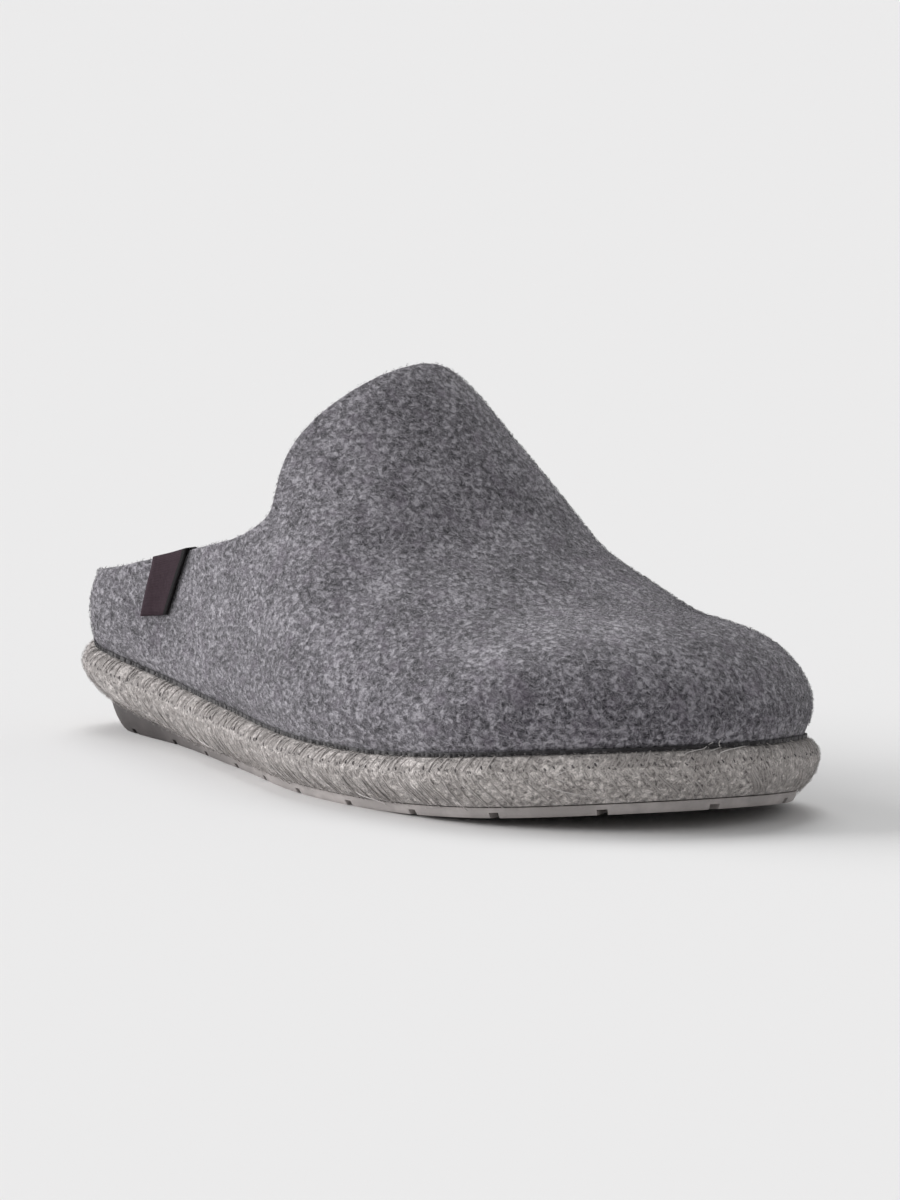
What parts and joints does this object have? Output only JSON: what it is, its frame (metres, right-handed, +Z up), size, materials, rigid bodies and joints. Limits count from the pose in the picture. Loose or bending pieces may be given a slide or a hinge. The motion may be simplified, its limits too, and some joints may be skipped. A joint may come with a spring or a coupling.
{
  "type": "slipper",
  "caption": "Closed-toe wool felt slipper for the right foot, with a low back, a high rounded instep, a braided sole edge and a rubber outsole.",
  "frame": {"origin": "on the floor, under the middle of the slipper's length and width", "axes": "+X from the heel to the toe, +Z up, -Y toward the outer side of the foot"},
  "size_m": [0.285, 0.1078, 0.1016],
  "materials": {
    "outsole": "matt, grey-brown",
    "midsole": "braided plant fibre, grey-beige, over a foam wedge",
    "upper": "thick wool felt, mottled mid grey",
    "insole": "wool felt, grey",
    "label": "woven ribbon, dark brown, bare"
  },
  "bodies": {
    "root": {"outsole": "outsole", "midsole": "midsole", "upper": "upper", "insole": "insole", "label": "label"}
  },
  "joints": []
}
